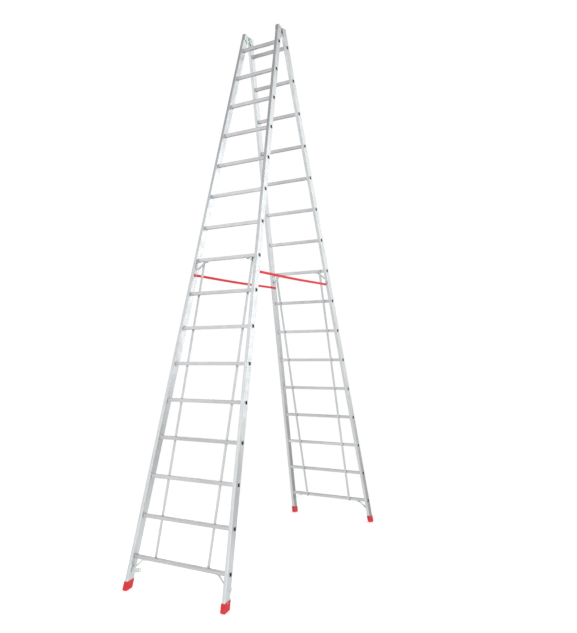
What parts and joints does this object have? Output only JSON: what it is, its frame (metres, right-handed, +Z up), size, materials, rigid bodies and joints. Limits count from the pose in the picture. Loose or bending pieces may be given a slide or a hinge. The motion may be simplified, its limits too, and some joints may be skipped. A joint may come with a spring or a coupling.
{
  "type": "double-sided rung stepladder",
  "caption": "Free-standing double-sided rung stepladder: two flared aluminium ladder leaves hinged at the top, held open by red webbing straps, on red shoes.",
  "frame": {"origin": "on the floor, midway between the four feet", "axes": "+X across the width (right as seen from the front), +Y towards the rear leaf, +Z up"},
  "size_m": [0.8664, 2.4904, 4.4357],
  "materials": {
    "stile": "mill-finish extrusion, fine lengthwise drawing lines, satin",
    "rung": "satin extruded tube with a ribbed tread",
    "tie_bar": "satin flat bar",
    "zinc": "bright zinc plate with a faint green-blue cast",
    "shoe": "moulded red plastic, fine grain, slightly scuffed at the sole",
    "webbing": "woven red polyester webbing",
    "rivet": "small domed rivet heads, satin",
    "plug": "grey moulded end plugs, fine grain"
  },
  "bodies": {
    "front_leaf": {"stile_front_left": "stile", "foot_front_left": "shoe", "tie_bar_front_left": "tie_bar", "brace_front_upper_left": "zinc", "brace_front_lower_left": "zinc", "hinge_plate_front_left": "zinc", "catch_plate_left": "zinc", "stile_front_right": "stile", "foot_front_right": "shoe", "tie_bar_front_right": "tie_bar", "brace_front_upper_right": "zinc", "brace_front_lower_right": "zinc", "hinge_plate_front_right": "zinc", "catch_plate_right": "zinc", "rung_front_01": "rung", "rung_front_02": "rung", "rung_front_03": "rung", "rung_front_04": "rung", "rung_front_05": "rung", "rung_front_06": "rung", "rung_front_07": "rung", "rung_front_08": "rung", "rung_front_09": "rung", "rung_front_10": "rung", "rung_front_11": "rung", "rung_front_12": "rung", "rung_front_13": "rung", "rung_front_14": "rung", "rung_front_15": "rung", "rung_front_16": "rung", "strap_left": "webbing", "strap_right": "webbing"},
    "rear_leaf": {"stile_rear_left": "stile", "foot_rear_left": "shoe", "tie_bar_rear_left": "tie_bar", "brace_rear_upper_left": "zinc", "brace_rear_lower_left": "zinc", "hinge_plate_rear_left": "zinc", "stile_rear_right": "stile", "foot_rear_right": "shoe", "tie_bar_rear_right": "tie_bar", "brace_rear_upper_right": "zinc", "brace_rear_lower_right": "zinc", "hinge_plate_rear_right": "zinc", "rung_rear_01": "rung", "rung_rear_02": "rung", "rung_rear_03": "rung", "rung_rear_04": "rung", "rung_rear_05": "rung", "rung_rear_06": "rung", "rung_rear_07": "rung", "rung_rear_08": "rung", "rung_rear_09": "rung", "rung_rear_10": "rung", "rung_rear_11": "rung", "rung_rear_12": "rung", "rung_rear_13": "rung", "rung_rear_14": "rung", "rung_rear_15": "rung", "rung_rear_16": "rung"}
  },
  "joints": [
    {"name": "leaf_fold", "type": "hinge", "parent": "front_leaf", "child": "rear_leaf", "pos_m": [0, 0, 4.40562], "axis": [1, 0, 0], "range_deg": [-29.8, 0], "deforming": ["strap_left", "strap_right"]}
  ]
}
